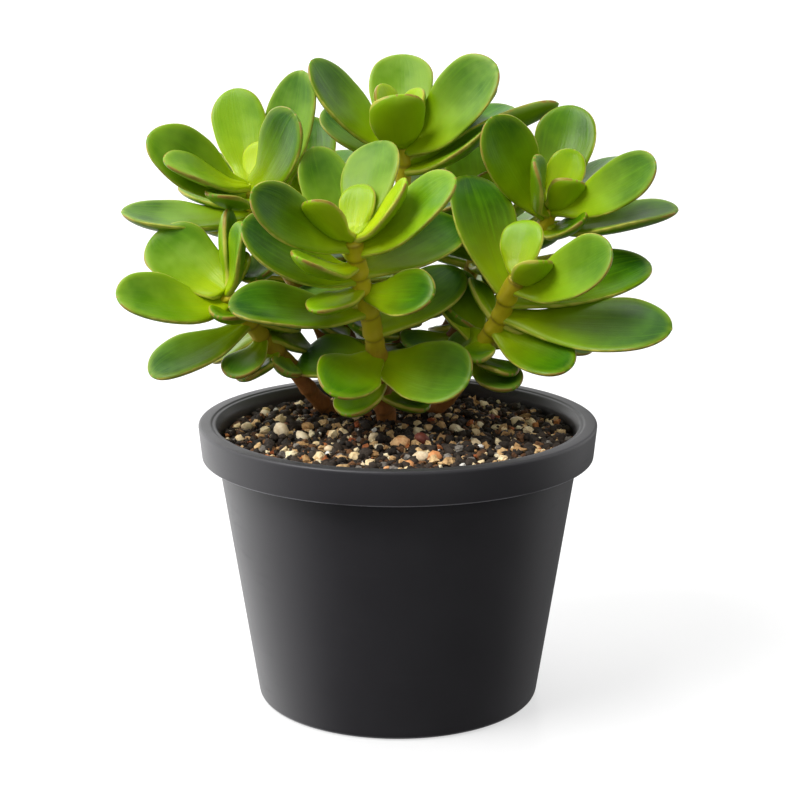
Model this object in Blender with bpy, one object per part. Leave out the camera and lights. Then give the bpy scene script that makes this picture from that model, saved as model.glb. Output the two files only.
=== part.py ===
"""Potted jade plant: eight leafy shoots rooted in gritty soil, in a 15 cm plastic nursery pot.

Metres, +Z up. The origin is the centre of the pot's underside and -Y is the front.
Headings turn about +Z from +X, so 270 degrees points to the front.
"""
from math import cos, pi, radians, sin, sqrt

import bpy
from mathutils import Euler, Matrix, Vector
from mathutils.bvhtree import BVHTree

MM = 0.001
GAP = 0.3 * MM

# Pot
POT_HEIGHT = 108 * MM
RIM_RADIUS = 75 * MM
OPENING_RADIUS = 69.2 * MM
COLLAR_RADIUS = 73 * MM
COLLAR_HEIGHT = 13 * MM
COLLAR_TOP_THICKNESS = 3.5 * MM
LIP_SLOPE = 2 * MM
NECK_RADIUS = 69 * MM
BASE_RADIUS = 53.8 * MM
BASE_ROUNDING = 2 * MM
RIM_ROUNDING = 0.8 * MM
WALL = 1.5 * MM
FLOOR = 2 * MM
POT_SIDES = 48
DRAIN_HOLES = 6
DRAIN_RADIUS = 4.5 * MM
DRAIN_CIRCLE = 36 * MM
DRAIN_SIDES = 12

# Soil
SOIL_TOP = 102 * MM
SOIL_CROWN = 1.5 * MM
ROOT_DEPTH = 12 * MM

# Stems: rings along a stem, sides round it, and how many of the rings its socket in the soil repeats
STEM_RINGS = 13
STEM_SIDES = 10
SOCKET_RINGS = 4
STEM_BLUNTNESS = 0.6
CURVE_STEPS = 8

# Leaves: a lens section swept from a narrow neck to a round tip. The neck, the place of the widest section,
# the cup across and the dish along are shares of the leaf's width or length.
LEAF_STATIONS = (0.0, 0.15, 0.32, 0.5, 0.66, 0.8, 0.92)
LEAF_SIDES = 8
LEAF_WIDEST = 0.62
LEAF_NECK = 0.28
LEAF_THICKNESS = 4.2 * MM
LEAF_CUP = 0.13
LEAF_DISH = 0.16
LEAF_FULLNESS = 0.7
LEAF_END_THICKNESS = 0.7
LEAF_TIP_TAPER = 2.2
LEAF_STANDOFF = 0.5 * MM

# Each shoot, in placing order: foot radius, tip radius and course of its stem, in millimetres from the
# soil surface up, then its leaves from the tip down. A leaf is its place along the stem (1 is the tip),
# heading, rise and roll in degrees, and its length and width in millimetres.
SHOOTS = {
    "front": {
        "radii": (3.9, 2.5),
        "course": ((-4, 16, 102), (-6, 8, 115), (-8, 0, 133), (-10, -6, 147), (-13, -12, 160),
                   (-15, -16, 171), (-16, -20, 180)),
        "leaves": (
            (1.00, 72, 50, 0, 39, 23), (0.87, 128, 64, -20, 43, 20),
            (0.95, 210, 30, -55, 43, 21), (0.92, 335, 41, 60, 44, 21),
            (0.86, 235, 18, -30, 33, 17), (0.80, 200, 33, -50, 44, 22),
            (0.73, 315, 10, 50, 31, 18), (0.63, 203, 10, -40, 50, 23),
            (0.52, 35, 25, 15, 39, 22), (0.40, 235, 0, -30, 34, 24),
            (0.36, 320, 0, 40, 40, 26),
        ),
    },
    "right": {
        "radii": (3.4, 2.5),
        "course": ((11, 27, 102), (18, 22, 110), (25, 14, 123), (30, 6, 133), (36, -2, 143),
                   (39, -7, 151), (41, -12, 159), (44, -15, 165)),
        "leaves": (
            (0.93, 330, 28, 50, 41, 23), (0.88, 115, 54, -10, 49, 25),
            (0.85, 17, 14, 35, 54, 22), (0.77, 338, 4, 45, 60, 23),
            (0.68, 315, -8, 25, 35, 20), (0.55, 120, 47, -5, 32, 19),
            (0.44, 305, -5, 10, 24, 15),
        ),
    },
    "right_back": {
        "radii": (3.2, 2.1),
        "course": ((15, 42, 102), (17, 41, 118), (22, 39, 131), (33, 34, 149), (47, 26, 167),
                   (56, 20, 179), (58, 17, 186)),
        "leaves": (
            (1.00, 65, 59, 0, 39, 24), (0.98, 330, 26, 50, 42, 23),
            (0.96, 205, 61, -80, 42, 22), (0.92, 340, 12, 30, 48, 20),
            (0.97, 262, 72, -95, 27, 15),
        ),
    },
    "left": {
        "radii": (3.0, 2.2),
        "course": ((-27, 34, 102), (-33, 26, 111), (-38, 22, 119), (-44, 17, 128), (-50, 12, 135),
                   (-56, 6, 144), (-61, 0, 152), (-64, -4, 157)),
        "leaves": (
            (1.00, 155, 34, -35, 35, 24), (0.97, 125, 68, 60, 30, 16),
            (0.93, 215, 13, -45, 46, 22), (0.77, 215, -13, -30, 42, 19),
            (0.63, 245, -14, 0, 24, 14),
        ),
    },
    "left_back": {
        "radii": (3.2, 2.2),
        "course": ((-13, 27, 102), (-21, 34, 117), (-28, 34, 132), (-36, 32, 148), (-43, 30, 160),
                   (-52, 26, 178), (-57, 22, 193)),
        "leaves": (
            (1.00, 110, 59, -10, 39, 21), (0.98, 318, 52, 75, 37, 22),
            (0.98, 208, 36, -65, 42, 22), (0.88, 35, 76, 25, 55, 20),
            (0.95, 240, 2, -15, 26, 14), (0.89, 187, 4, -25, 47, 20),
        ),
    },
    "top": {
        "radii": (3.6, 2.1),
        "course": ((0, 40, 102), (1, 41, 128), (2, 42, 166), (2, 38, 198), (2, 36, 209)),
        "leaves": (
            (1.00, 95, 58, 0, 36, 24), (0.99, 263, 59, 10, 24, 22),
            (0.97, 335, 44, 55, 46, 26), (0.96, 183, 44, -30, 47, 20),
            (0.92, 145, 28, -20, 37, 18), (0.89, 330, 28, 30, 37, 17),
        ),
    },
    "back_left": {
        "radii": (3.2, 2.1),
        "course": ((-14, 49, 102), (-18, 52, 122), (-26, 54, 145), (-35, 56, 166), (-40, 57, 182)),
        "leaves": (
            (1.00, 85, 60, 0, 37, 22), (0.97, 165, 35, 25, 43, 22),
            (0.94, 65, 28, 10, 45, 23), (0.84, 130, 18, 10, 48, 24),
            (0.62, 100, 5, 0, 42, 22),
        ),
    },
    "back_right": {
        "radii": (3.2, 2.1),
        "course": ((14, 57, 102), (18, 58, 122), (26, 59, 145), (32, 60, 162), (35, 60, 176)),
        "leaves": (
            (1.00, 105, 60, 0, 38, 22), (0.97, 15, 38, -25, 42, 22),
            (0.94, 110, 26, -10, 44, 23), (0.84, 45, 18, -10, 48, 24),
            (0.62, 70, 5, 0, 42, 22),
        ),
    },
}

# Turns tried, in degrees of (rise, heading), until a leaf is clear of everything already in place
NUDGES = sorted(
    ((rise, turn) for rise in range(-24, 25, 3) for turn in range(-24, 25, 3)),
    key=lambda pair: (pair[0] ** 2 + pair[1] ** 2, pair),
)


def clear_scene():
    for thing in list(bpy.data.objects):
        bpy.data.objects.remove(thing, do_unlink=True)


def material(name, colour, roughness):
    """A plain Principled material, shared by the pieces made of it."""
    finish = bpy.data.materials.get(name)
    if finish is None:
        finish = bpy.data.materials.new(name)
        finish.use_nodes = True
        shader = finish.node_tree.nodes["Principled BSDF"]
        shader.inputs["Base Color"].default_value = (*colour, 1.0)
        shader.inputs["Roughness"].default_value = roughness
        shader.inputs["Metallic"].default_value = 0.0
    return finish


def add_object(name, verts, faces, finish=None):
    """A named, smooth-shaded mesh object in the scene."""
    mesh = bpy.data.meshes.new(name)
    mesh.from_pydata([tuple(vert) for vert in verts], [], faces)
    mesh.validate()
    mesh.shade_smooth()
    thing = bpy.data.objects.new(name, mesh)
    bpy.context.collection.objects.link(thing)
    if finish is not None:
        mesh.materials.append(finish)
    return thing


def circle(radius, sides, height):
    """Points evenly round the Z axis."""
    turns = [2 * pi * side / sides for side in range(sides)]
    return [(radius * cos(turn), radius * sin(turn), height) for turn in turns]


def tube_faces(rings, sides, tip=False):
    """Faces of a tube of rings with a flat end at its start; tip closes the far end on one point."""
    faces = [tuple(reversed(range(sides)))]
    for ring in range(rings - 1):
        for side in range(sides):
            near, far = ring * sides + side, ring * sides + (side + 1) % sides
            faces.append((near, far, far + sides, near + sides))
    last = (rings - 1) * sides
    if tip:
        faces += [(last + side, last + (side + 1) % sides, rings * sides) for side in range(sides)]
    else:
        faces.append(tuple(range(last, last + sides)))
    return faces


def turned(name, profile, finish=None):
    """A closed body turned about Z. The profile runs (radius, height) from axis to axis, outside first."""
    verts, rows = [], []
    for radius, height in profile:
        ring = circle(radius, POT_SIDES if radius else 1, height)
        rows.append(range(len(verts), len(verts) + len(ring)))
        verts += ring
    faces = []
    for low, high in zip(rows, rows[1:]):
        for side in range(POT_SIDES):
            after = (side + 1) % POT_SIDES
            corners = (low[side % len(low)], low[after % len(low)], high[after % len(high)],
                       high[side % len(high)])
            faces.append(tuple(dict.fromkeys(corners)))
    return add_object(name, verts, faces, finish)


def cut(thing, cutters):
    """Subtract a list of cutter objects, which stay in the scene as hidden wires."""
    group = bpy.data.collections.new(thing.name + "_cutters")
    bpy.context.scene.collection.children.link(group)
    for cutter in cutters:
        bpy.context.collection.objects.unlink(cutter)
        group.objects.link(cutter)
        cutter.hide_render = True
        cutter.display_type = "WIRE"
    hollow = thing.modifiers.new("hollow", "BOOLEAN")
    hollow.operation = "DIFFERENCE"
    hollow.solver = "EXACT"
    hollow.operand_type = "COLLECTION"
    hollow.collection = group


def wall_radius(height):
    """Outer radius of the pot's tapered body at a height."""
    share = height / (POT_HEIGHT - COLLAR_HEIGHT)
    return BASE_RADIUS + (NECK_RADIUS - BASE_RADIUS) * share


def make_pot():
    """A tapered shell with a deep turned-down collar, open under its skirt, and holes in its floor."""
    skirt = POT_HEIGHT - COLLAR_HEIGHT
    channel_top = POT_HEIGHT - COLLAR_TOP_THICKNESS
    lip = NECK_RADIUS - WALL
    profile = [
        (0, 0), (BASE_RADIUS - BASE_ROUNDING, 0), (BASE_RADIUS - 0.3 * BASE_ROUNDING, 0.3 * BASE_ROUNDING),
        (wall_radius(BASE_ROUNDING), BASE_ROUNDING), (wall_radius(POT_HEIGHT / 2), POT_HEIGHT / 2),
        (NECK_RADIUS, skirt), (NECK_RADIUS + 0.6 * MM, channel_top),
        (COLLAR_RADIUS, channel_top), (COLLAR_RADIUS - WALL, skirt), (COLLAR_RADIUS, skirt),
        (RIM_RADIUS, POT_HEIGHT - RIM_ROUNDING), (RIM_RADIUS - RIM_ROUNDING, POT_HEIGHT),
        (OPENING_RADIUS, POT_HEIGHT), (lip, POT_HEIGHT - LIP_SLOPE), (lip, skirt),
        (wall_radius(POT_HEIGHT / 2) - WALL, POT_HEIGHT / 2), (wall_radius(FLOOR) - WALL, FLOOR), (0, FLOOR),
    ]
    pot = turned("pot", profile, material("pot_plastic", (0.022, 0.022, 0.025), 0.45))
    drains = []
    for hole in range(DRAIN_HOLES):
        rings = [circle(DRAIN_RADIUS, DRAIN_SIDES, height) for height in (-FLOOR, 2 * FLOOR)]
        drain = add_object(f"drain_cutter_{hole + 1}", rings[0] + rings[1], tube_faces(2, DRAIN_SIDES))
        drain.location = circle(DRAIN_CIRCLE, DRAIN_HOLES, 0)[hole]
        drains.append(drain)
    cut(pot, drains)


def stem_axis(course):
    """A smooth curve through the course's points, carried straight down below the soil surface."""
    points = [Vector(point) * MM for point in course]
    points.insert(0, points[0] - Vector((0, 0, ROOT_DEPTH)))
    padded = [2 * points[0] - points[1], *points, 2 * points[-1] - points[-2]]
    curve = []
    for before, start, end, after in zip(padded, padded[1:], padded[2:], padded[3:]):
        for step in range(CURVE_STEPS):
            t = step / CURVE_STEPS
            curve.append(0.5 * (
                2 * start + (end - before) * t + (2 * before - 5 * start + 4 * end - after) * t ** 2
                + (3 * start - before - 3 * end + after) * t ** 3))
    curve.append(points[-1])
    return curve


def point_on(curve, share):
    """The point and direction at a share of a curve's length."""
    lengths = [(b - a).length for a, b in zip(curve, curve[1:])]
    target = share * sum(lengths)
    for a, b, length in zip(curve, curve[1:], lengths):
        if target <= length or b is curve[-1]:
            return a + (b - a) * (target / length), (b - a).normalized()
        target -= length


def place_on_stem(curve, share):
    """As point_on, with the share counted from the soil surface instead of the buried foot."""
    whole = sum((b - a).length for a, b in zip(curve, curve[1:]))
    return point_on(curve, (ROOT_DEPTH + share * (whole - ROOT_DEPTH)) / whole)


def stem_rings(curve, radii, shares, spare=0.0):
    """Rings of points square to the curve, with their radius running from foot to tip."""
    across = Vector((1, 0, 0))
    verts = []
    for share in shares:
        centre, along = point_on(curve, min(max(share, 0.0), 1.0))
        across = (across - along * across.dot(along)).normalized()
        other = along.cross(across)
        radius = radii[0] + (radii[1] - radii[0]) * share + spare
        for side in range(STEM_SIDES):
            angle = 2 * pi * side / STEM_SIDES
            verts.append(centre + radius * (cos(angle) * across + sin(angle) * other))
    return verts


def make_stem(shoot, curve, radii):
    """A tapering stem with a flat foot and a blunt growing point."""
    shares = [ring / (STEM_RINGS - 1) for ring in range(STEM_RINGS)]
    verts = stem_rings(curve, radii, shares)
    tip, along = point_on(curve, 1.0)
    verts.append(tip + along * radii[1] * STEM_BLUNTNESS)
    finish = material("stem_bark", (0.30, 0.17, 0.05), 0.6)
    return add_object(f"stem_{shoot}", verts, tube_faces(STEM_RINGS, STEM_SIDES, tip=True), finish)


def make_socket(shoot, curve, radii):
    """The hole that a stem's foot leaves in the soil: the same tube, one gap larger all round."""
    shares = [ring / (STEM_RINGS - 1) for ring in range(SOCKET_RINGS)]
    verts = stem_rings(curve, radii, shares, spare=GAP)
    drop = (curve[1] - curve[0]).normalized() * GAP
    verts[:STEM_SIDES] = [vert - drop for vert in verts[:STEM_SIDES]]
    return add_object(f"socket_cutter_{shoot}", verts, tube_faces(SOCKET_RINGS, STEM_SIDES))


def make_soil(sockets):
    """The root ball: it fills the pot a gap clear of its wall and is slightly crowned."""
    inside = WALL + GAP
    bottom = FLOOR + GAP
    profile = [
        (0, bottom), (wall_radius(bottom) - inside, bottom),
        (wall_radius(POT_HEIGHT / 2) - inside, POT_HEIGHT / 2),
        (NECK_RADIUS - inside, POT_HEIGHT - COLLAR_HEIGHT), (NECK_RADIUS - inside, SOIL_TOP - SOIL_CROWN),
        (NECK_RADIUS / 2, SOIL_TOP), (0, SOIL_TOP + SOIL_CROWN),
    ]
    soil = turned("soil", profile, material("gritty_soil", (0.05, 0.04, 0.03), 0.95))
    cut(soil, sockets)


def half_width(along):
    """Share of a leaf's half width at a share of its length: an easing swell, then a round tip."""
    if along < LEAF_WIDEST:
        swell = (0.5 - 0.5 * cos(pi * along / LEAF_WIDEST)) ** LEAF_FULLNESS
        return LEAF_NECK + (1 - LEAF_NECK) * swell
    return sqrt(max(0.0, 1 - ((along - LEAF_WIDEST) / (1 - LEAF_WIDEST)) ** 2))


def leaf_verts(length, width, spare=0.0):
    """A leaf along +X from its neck: lens sections, cupped across and dished along its length."""
    verts = []
    for along in LEAF_STATIONS:
        half = half_width(along) * width / 2
        swell = LEAF_END_THICKNESS + (1 - LEAF_END_THICKNESS) * sin(pi * along)
        thick = LEAF_THICKNESS / 2 * swell * min(1.0, LEAF_TIP_TAPER * (1.04 - along))
        dish = LEAF_DISH * length * (along ** 2 - along)
        for side in range(LEAF_SIDES):
            angle = 2 * pi * side / LEAF_SIDES
            across = half * cos(angle)
            lift = LEAF_CUP * width * (across / (width / 2)) ** 2
            verts.append(Vector((
                along * length,
                across + spare * cos(angle),
                thick * sin(angle) + spare * sin(angle) + dish + lift,
            )))
    verts.append(Vector((length + spare, 0, 0)))
    return verts


def leaf_matrix(curve, radii, leaf, nudge):
    """Where a leaf sits: its neck beside the stem, its length along its heading and rise."""
    share, heading, rise, roll, _, _ = leaf
    turn = Euler((radians(roll), -radians(rise + nudge[0]), radians(heading + nudge[1])), "XYZ")
    centre, along = place_on_stem(curve, share)
    out = turn.to_matrix() @ Vector((1, 0, 0))
    lean = out.dot(along)
    aside = (out - along * lean).normalized()
    radius = radii[0] + (radii[1] - radii[0]) * share
    reach = radius + LEAF_STANDOFF + LEAF_THICKNESS / 2 * abs(lean)
    return Matrix.LocRotScale(centre + aside * reach, turn, None)


def tree_of(verts, faces):
    return BVHTree.FromPolygons([tuple(vert) for vert in verts], faces)


def make_leaf(name, curve, radii, leaf, solids):
    """Put a leaf at its place, turned by the least that keeps it a gap clear of the solids so far."""
    length, width = leaf[4] * MM, leaf[5] * MM
    faces = tube_faces(len(LEAF_STATIONS), LEAF_SIDES, tip=True)
    roomy = leaf_verts(length, width, spare=GAP)
    for nudge in NUDGES:
        place = leaf_matrix(curve, radii, leaf, nudge)
        shape = tree_of([place @ vert for vert in roomy], faces)
        if not any(shape.overlap(solid) for solid in solids):
            break
    else:
        raise RuntimeError(f"no room for {name}")
    verts = leaf_verts(length, width)
    solids.append(tree_of([place @ vert for vert in verts], faces))
    thing = add_object(name, verts, faces, material("jade_leaf", (0.16, 0.33, 0.03), 0.35))
    thing.matrix_world = place


def main():
    clear_scene()
    make_pot()
    curves, solids, sockets = {}, [], []
    for name, shoot in SHOOTS.items():
        radii = [radius * MM for radius in shoot["radii"]]
        curves[name] = stem_axis(shoot["course"])
        stem = make_stem(name, curves[name], radii)
        solids.append(tree_of([vert.co for vert in stem.data.vertices],
                              [tuple(face.vertices) for face in stem.data.polygons]))
        sockets.append(make_socket(name, curves[name], radii))
    make_soil(sockets)
    for name, shoot in SHOOTS.items():
        radii = [radius * MM for radius in shoot["radii"]]
        for number, leaf in enumerate(shoot["leaves"], start=1):
            make_leaf(f"leaf_{name}_{number}", curves[name], radii, leaf, solids)


main()
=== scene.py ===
import bpy
import numpy as np
from mathutils import Euler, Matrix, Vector
from mathutils.bvhtree import BVHTree


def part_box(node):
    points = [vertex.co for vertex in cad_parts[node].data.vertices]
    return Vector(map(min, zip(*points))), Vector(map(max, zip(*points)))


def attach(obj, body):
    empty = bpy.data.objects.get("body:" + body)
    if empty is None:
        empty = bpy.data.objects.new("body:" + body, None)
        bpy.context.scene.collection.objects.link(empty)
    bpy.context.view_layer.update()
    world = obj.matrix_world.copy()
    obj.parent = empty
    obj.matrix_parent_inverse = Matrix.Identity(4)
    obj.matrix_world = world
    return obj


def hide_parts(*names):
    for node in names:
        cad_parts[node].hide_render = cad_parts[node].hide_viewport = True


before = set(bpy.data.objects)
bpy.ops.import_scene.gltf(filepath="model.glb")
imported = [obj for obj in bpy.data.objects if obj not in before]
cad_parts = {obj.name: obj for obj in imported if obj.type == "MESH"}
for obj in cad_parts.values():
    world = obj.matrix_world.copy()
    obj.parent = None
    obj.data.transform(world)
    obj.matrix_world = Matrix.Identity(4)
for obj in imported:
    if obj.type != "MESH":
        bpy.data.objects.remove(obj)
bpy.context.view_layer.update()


# ------------------------------------------------------------------------------------------------
# The pot: a thin-walled nursery pot moulded in one shot of charcoal polypropylene, tapered so that it leaves
# the mould, with a deep collar turned down round the rim and drain holes through its floor. The mould's
# spark-eroded wall gives it a fine, soft texture.
MM = 0.001
POT_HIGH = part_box("pot")[1]
POT_HEIGHT = POT_HIGH.z
RIM_RADIUS = POT_HIGH.x + 0.6 * MM
COLLAR_DROP = 13 * MM
COLLAR_TAPER = 1.3 * MM
COLLAR_TOP = 3.5 * MM
NECK_RADIUS = RIM_RADIUS - 6.6 * MM
OPENING_RADIUS = RIM_RADIUS - 6.2 * MM
BASE_RADIUS = 53.8 * MM
POT_WALL = 1.5 * MM
POT_FLOOR = 2 * MM
POT_SIDES = 240
DRAIN_HOLES = 6
DRAIN_CIRCLE = 36 * MM
DRAIN_RADIUS = 4.5 * MM
DRAIN_SIDES = 32
CORNER_STEPS = 6
SHARP_ANGLE = np.radians(50)


class Field:
    """A shader socket that arithmetic works on: every operator adds a Math node and returns its result."""

    def __init__(self, finish, socket):
        self.finish, self.socket = finish, socket

    def math(self, operation, *values):
        return self.finish.node("ShaderNodeMath", {"operation": operation}, dict(enumerate(values)))

    def __add__(self, other):
        return self.math("ADD", self, other)

    def __radd__(self, other):
        return self.math("ADD", other, self)

    def __sub__(self, other):
        return self.math("SUBTRACT", self, other)

    def __rsub__(self, other):
        return self.math("SUBTRACT", other, self)

    def __mul__(self, other):
        return self.math("MULTIPLY", self, other)

    def __rmul__(self, other):
        return self.math("MULTIPLY", other, self)

    def __pow__(self, power):
        return self.math("POWER", self, power)

    def step(self, low, high):
        """0 below low and 1 above high, with a smooth change between them; low may be the larger one."""
        settings = {"interpolation_type": "SMOOTHSTEP"}
        flip = low > high
        ends = (high, low) if flip else (low, high)
        sockets = {"Value": self, "From Min": ends[0], "From Max": ends[1],
                   "To Min": 1.0 if flip else 0.0, "To Max": 0.0 if flip else 1.0}
        return self.finish.node("ShaderNodeMapRange", settings, sockets)


class Nodes:
    """A shader's node tree under construction."""

    def __init__(self, tree):
        self.tree = tree

    def join(self, value, socket):
        if isinstance(value, Field):
            self.tree.links.new(value.socket, socket)
        else:
            socket.default_value = (*value, 1.0) if socket.type == "RGBA" and len(value) == 3 else value

    def node(self, kind, settings=None, sockets=None, output=0):
        """Add a node: settings are its own properties, sockets its inputs by name or number."""
        node = self.tree.nodes.new(kind)
        for name, value in (settings or {}).items():
            setattr(node, name, value)
        for key, value in (sockets or {}).items():
            self.join(value, node.inputs[key])
        return Field(self, node.outputs[output])

    def place(self):
        return self.node("ShaderNodeTexCoord", output="Object")

    def attribute(self, name):
        return self.node("ShaderNodeAttribute", {"attribute_name": name}, output="Fac")

    def noise(self, scale, detail=3.0, roughness=0.55, vector=None):
        sockets = {"Vector": vector or self.place(), "Scale": scale, "Detail": detail, "Roughness": roughness}
        return self.node("ShaderNodeTexNoise", None, sockets)

    def mix(self, factor, first, second):
        return self.node("ShaderNodeMix", {"data_type": "RGBA"}, {0: factor, 6: first, 7: second}, output=2)

    def stretch(self, scale):
        """The place in the piece, scaled along each axis."""
        return self.node("ShaderNodeVectorMath", {"operation": "MULTIPLY"}, {0: self.place(), 1: scale})

    def band(self, value, centre, reach):
        """1 where a value is at a centre, falling to 0 at a reach to either side."""
        apart = self.node("ShaderNodeMath", {"operation": "ABSOLUTE"}, {0: value - centre})
        return apart.step(reach, 0.0)

    def bump(self, height, distance, strength):
        sockets = {"Strength": strength, "Distance": distance, "Height": height}
        return self.node("ShaderNodeBump", None, sockets)


class Finish(Nodes):
    """A material under construction round one Principled shader."""

    def __init__(self, name, **constants):
        self.material = bpy.data.materials.new(name)
        self.material.use_nodes = True
        super().__init__(self.material.node_tree)
        self.shader = self.tree.nodes["Principled BSDF"]
        for socket, value in constants.items():
            self.shader.inputs[socket.replace("_", " ")].default_value = value

    def shade(self, **links):
        """Feed the shader's varying sockets and hand back the finished material."""
        for socket, value in links.items():
            self.join(value, self.shader.inputs[socket.replace("_", " ")])
        return self.material


def add_piece(name, points, faces, material, slot, replaces=(), **attributes):
    """A smooth mesh piece on the root body, with any per-point attributes, in the CAD frame's own place."""
    mesh = bpy.data.meshes.new(name)
    mesh.from_pydata(np.asarray(points).tolist(), [], faces)
    mesh.shade_smooth()
    mesh.materials.append(material)
    for key, values in attributes.items():
        layer = mesh.attributes.new(key, "FLOAT", "POINT")
        layer.data.foreach_set("value", np.asarray(values, np.float32).ravel())
    piece = bpy.data.objects.new(name, mesh)
    bpy.context.scene.collection.objects.link(piece)
    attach(piece, "root")
    if replaces:
        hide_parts(*replaces)
    return piece


def skin(rings, sides):
    """Faces over a grid of rings of points closed round, with a pole point after them at each end."""
    ring = np.arange(rings - 1)[:, None] * sides
    side = np.arange(sides)[None, :]
    after = (side + 1) % sides
    quads = np.stack([ring + side, ring + after, ring + sides + after, ring + sides + side], -1)
    start, end, last = rings * sides, rings * sides + 1, (rings - 1) * sides
    around, following = side[0], after[0]
    first_fan = np.stack([np.full(sides, start), following, around], -1)
    last_fan = np.stack([np.full(sides, end), last + around, last + following], -1)
    return quads.reshape(-1, 4).tolist() + first_fan.tolist() + last_fan.tolist()


def rounded(corners, radii):
    """A polyline whose corners are swapped for arcs: each is a quadratic curve between points at its
    radius along both sides, so (1-t)^2 A + 2t(1-t) B + t^2 C over t from 0 to 1."""
    corners = np.asarray(corners, float)
    t = np.linspace(0, 1, CORNER_STEPS)[:, None]
    line = [corners[:1]]
    for before, corner, after, radius in zip(corners, corners[1:], corners[2:], radii):
        into, out = before - corner, after - corner
        start = corner + into * min(radius / np.linalg.norm(into), 0.45)
        end = corner + out * min(radius / np.linalg.norm(out), 0.45)
        line.append((1 - t) ** 2 * start + 2 * t * (1 - t) * corner + t ** 2 * end)
    line.append(corners[-1:])
    return np.concatenate(line)


def lathe(profile, sides):
    """Points of a profile of (radius, height) turned about Z, the two ends of it last as poles."""
    turn = np.linspace(0, 2 * np.pi, sides, endpoint=False)
    radius, height = profile[1:-1, 0:1], profile[1:-1, 1:2]
    rings = np.stack([radius * np.cos(turn), radius * np.sin(turn), height + 0 * turn], -1)
    poles = [[0, 0, profile[0, 1]], [0, 0, profile[-1, 1]]]
    return np.concatenate([rings.reshape(-1, 3), poles])


def wall_radius(height):
    """Outer radius of the pot's straight taper at a height."""
    return BASE_RADIUS + (NECK_RADIUS - BASE_RADIUS) * height / (POT_HEIGHT - COLLAR_DROP)


def pot_plastic():
    """Charcoal polypropylene: soft spark-eroded grain, faint cloudiness, specks of dust and light scuffs, and
    pale bands along the edge under the collar and at the foot, which are painted highlights broken up like
    wear."""
    finish = Finish("pot_plastic", Specular_IOR_Level=0.36)
    cloud = finish.noise(38.0, detail=4.0)
    grain = finish.noise(2600.0, detail=2.0)
    specks = finish.noise(900.0, detail=2.0, roughness=0.7).step(0.70, 0.78)
    scuffs = finish.noise(60.0, vector=finish.stretch((1.0, 1.0, 9.0))).step(0.58, 0.75)
    tone = finish.mix(cloud, (0.0260, 0.0248, 0.0282), (0.0350, 0.0335, 0.0378))
    tone = finish.mix(scuffs * 0.10, tone, (0.045, 0.045, 0.050))
    tone = finish.mix(specks * 0.16, tone, (0.12, 0.11, 0.10))
    level = finish.node("ShaderNodeSeparateXYZ", None, {0: finish.place()}, output="Z")
    # painted highlight: pale bands along the collar's lower edge and the foot stand in for the glint of those
    # rounded edges, broken up with noise like wear
    collar_edge = finish.band(level, POT_HEIGHT - COLLAR_DROP, 0.6 * MM)
    foot_edge = finish.band(level, 0.6 * MM, 0.9 * MM)
    painted_edge_highlight = (collar_edge + foot_edge * 0.5) * finish.noise(75.0, detail=4.0).step(0.10, 0.55)
    tone = finish.mix(painted_edge_highlight * 0.9, tone, (0.40, 0.40, 0.43))
    height = grain + cloud * 0.6
    return finish.shade(
        Base_Color=tone,
        Roughness=0.33 + cloud * 0.12 + scuffs * 0.06 - painted_edge_highlight * 0.10,
        Normal=finish.bump(height, 0.06 * MM, 0.55),
    )


def make_pot():
    """The pot's shell turned from its wall section, with round drain holes cut through the floor."""
    skirt, top = POT_HEIGHT - COLLAR_DROP, POT_HEIGHT
    channel = top - COLLAR_TOP
    outer, inner = RIM_RADIUS, NECK_RADIUS - POT_WALL
    section = [
        (0, 0), (BASE_RADIUS - 4 * MM, 0), (BASE_RADIUS, 0), (NECK_RADIUS, skirt + 4 * MM),
        (NECK_RADIUS + 0.3 * MM, channel), (outer - COLLAR_TAPER, channel),
        (outer - COLLAR_TAPER - POT_WALL, skirt), (outer - COLLAR_TAPER, skirt), (outer, top),
        (OPENING_RADIUS + 1.5 * MM, top), (OPENING_RADIUS + 0.9 * MM, top - 0.5 * MM),
        (OPENING_RADIUS - 0.4 * MM, top - 0.5 * MM), (inner, top - 3 * MM),
        (wall_radius(POT_FLOOR) - POT_WALL, POT_FLOOR), (0, POT_FLOOR),
    ]
    radii = np.array([0.2, 2.2, 1, 0.5, 0.5, 0.5, 0.5, 1.3, 0.35, 0.4, 0.7, 1, 1.5]) * MM
    profile = rounded(section, radii)
    pot = add_piece("nursery_pot", lathe(profile, POT_SIDES), skin(len(profile) - 2, POT_SIDES),
                    pot_plastic(), "pot_plastic", ["pot"])
    turns = np.arange(DRAIN_HOLES) * 2 * np.pi / DRAIN_HOLES
    drill = np.array([(0, -1), (1, -1), (1, 1), (0, 1)]) * (DRAIN_RADIUS, 2 * POT_FLOOR)
    points, faces = lathe(drill, DRAIN_SIDES), skin(2, DRAIN_SIDES)
    cutters = bpy.data.meshes.new("drains")
    all_points = [points + (DRAIN_CIRCLE * np.cos(turn), DRAIN_CIRCLE * np.sin(turn), 0) for turn in turns]
    all_faces = [[corner + hole * len(points) for corner in face]
                 for hole in range(DRAIN_HOLES) for face in faces]
    cutters.from_pydata(np.concatenate(all_points).tolist(), [], all_faces)
    drains = bpy.data.objects.new("drains", cutters)
    bpy.context.scene.collection.objects.link(drains)
    cut = pot.modifiers.new("drains", "BOOLEAN")
    cut.operation, cut.solver, cut.object = "DIFFERENCE", "EXACT", drains
    drilled = pot.evaluated_get(bpy.context.evaluated_depsgraph_get())
    pot.data = bpy.data.meshes.new_from_object(drilled)
    pot.modifiers.clear()
    bpy.data.objects.remove(drains)
    pot.data.set_sharp_from_angle(angle=SHARP_ANGLE)


make_pot()


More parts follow.
